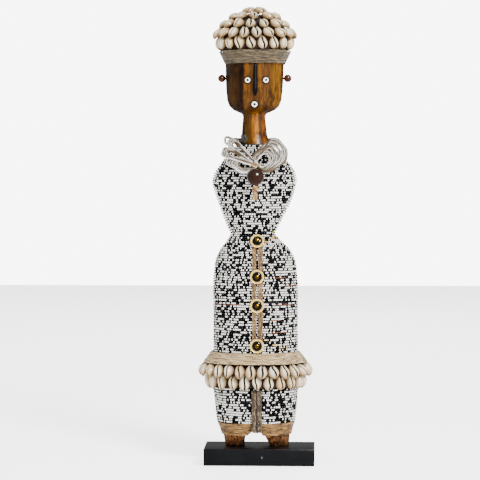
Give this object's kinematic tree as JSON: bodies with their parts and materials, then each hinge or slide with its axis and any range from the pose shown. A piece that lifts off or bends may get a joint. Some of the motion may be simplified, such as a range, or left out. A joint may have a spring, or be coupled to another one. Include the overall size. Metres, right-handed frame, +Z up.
{
  "type": "fertility doll",
  "caption": "Standing carved wooden doll wrapped in strung beads, with a cowrie cap, a cowrie fringe, a beaded necklace and a turning pendant, screwed to a block.",
  "frame": {"origin": "centre of the base block's underside", "axes": "+Z up along the figure, -Y towards the viewer that the face looks at, +X to that viewer's right"},
  "size_m": [0.1588, 0.134, 0.6219],
  "materials": {
    "black_lacquer": "gloss",
    "steel": "satin",
    "carved_wood": "gloss",
    "dark_wood": "gloss",
    "bone": "gloss",
    "brass": "polished",
    "cowrie_shell": "gloss",
    "cap_fibre": "matte",
    "twine": "matte",
    "glass_beads": "gloss",
    "button_cream": "gloss",
    "button_black": "gloss"
  },
  "bodies": {
    "figure": {"base_block": "black_lacquer", "foot_screws": "steel", "figure_core": "carved_wood", "nose_ridge": "dark_wood", "left_eye_disc": "bone", "right_eye_disc": "bone", "mouth_disc": "bone", "face_pins": "dark_wood", "left_ear_peg": "dark_wood", "right_ear_peg": "dark_wood", "cap_dome": "cap_fibre", "cap_band": "twine", "cap_cowries_row_1": "cowrie_shell", "cap_cowries_row_2": "cowrie_shell", "cap_cowries_row_3": "cowrie_shell", "cap_cowries_row_4": "cowrie_shell", "cap_cowries_row_5": "cowrie_shell", "neck_knot": "dark_wood", "chest_bead_wrap": "glass_beads", "hip_bead_wrap": "glass_beads", "left_leg_bead_wrap": "glass_beads", "right_leg_bead_wrap": "glass_beads", "necklace_left_loops": "glass_beads", "necklace_right_loops": "glass_beads", "necklace_back_strands": "glass_beads", "necklace_tie": "twine", "placket_left_twine": "twine", "placket_right_twine": "twine", "button_disc_1": "button_cream", "button_disc_2": "button_cream", "button_disc_3": "button_cream", "button_disc_4": "button_cream", "button_dome_1": "button_black", "button_dome_2": "button_black", "button_dome_3": "button_black", "button_dome_4": "button_black", "button_studs": "brass", "skirt_band": "twine", "fringe_backing": "cap_fibre", "fringe_upper_cowries": "cowrie_shell", "fringe_lower_cowries": "cowrie_shell", "leg_divider_left_twine": "twine", "leg_divider_right_twine": "twine", "leg_divider_dark_cord": "cap_fibre", "left_cuff": "twine", "right_cuff": "twine"},
    "left_ear_bead": {"left_ear_bead": "dark_wood"},
    "right_ear_bead": {"right_ear_bead": "dark_wood"},
    "pendant": {"pendant_cord": "twine", "pendant_knot": "twine", "pendant_tail": "twine"},
    "pendant_bead": {"pendant_bead": "dark_wood"}
  },
  "joints": [
    {"name": "left_ear_bead_spin", "type": "hinge", "parent": "figure", "child": "left_ear_bead", "pos_m": [-0.052, 0.004, 0.5245], "axis": [-1, 0, 0], "continuous": true},
    {"name": "right_ear_bead_spin", "type": "hinge", "parent": "figure", "child": "right_ear_bead", "pos_m": [0.038, 0.004, 0.5245], "axis": [1, 0, 0], "continuous": true},
    {"name": "pendant_swing", "type": "hinge", "parent": "figure", "child": "pendant", "pos_m": [-0.0044, -0.0546, 0.407], "axis": [-1, 0, 0], "range_deg": [0, 50]},
    {"name": "pendant_bead_spin", "type": "hinge", "parent": "pendant", "child": "pendant_bead", "pos_m": [-0.0044, -0.0546, 0.391], "axis": [0, 0, 1], "continuous": true}
  ]
}
